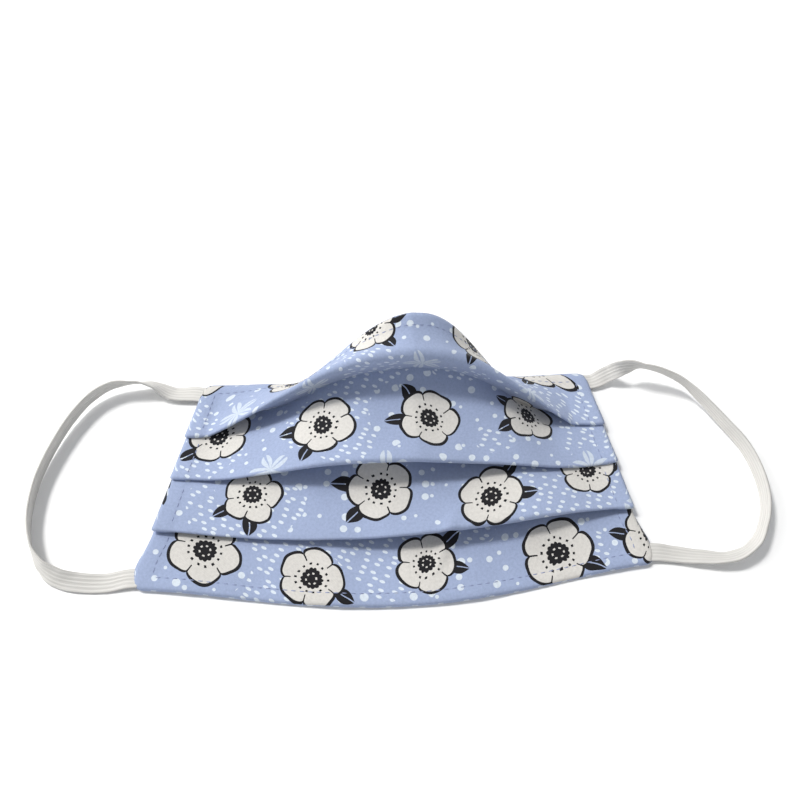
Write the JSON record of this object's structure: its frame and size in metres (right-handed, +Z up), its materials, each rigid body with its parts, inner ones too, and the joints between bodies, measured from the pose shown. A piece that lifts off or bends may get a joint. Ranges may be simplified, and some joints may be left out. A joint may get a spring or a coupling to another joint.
{
  "type": "cloth face mask",
  "caption": "Pleated cloth face mask of printed cotton with a dotted lining and elastic ear loops, lying face up with its pleats pulled open into a dome.",
  "frame": {"origin": "middle of the bounding box in plan, on the surface that the mask lies on", "axes": "+X along the hems, +Y from the bottom hem to the top hem, +Z up, out of the mask's outer face"},
  "size_m": [0.2892, 0.1048, 0.0424],
  "materials": {
    "outer_cotton": "printed plain-weave cotton, periwinkle blue",
    "lining_cotton": "plain-weave cotton, light blue with white dots",
    "ear_elastic": "white ribbed flat elastic"
  },
  "bodies": {
    "root": {"outer_panel": "outer_cotton", "lining_panel": "lining_cotton", "ear_loop_left": "ear_elastic", "ear_loop_right": "ear_elastic"}
  },
  "joints": []
}
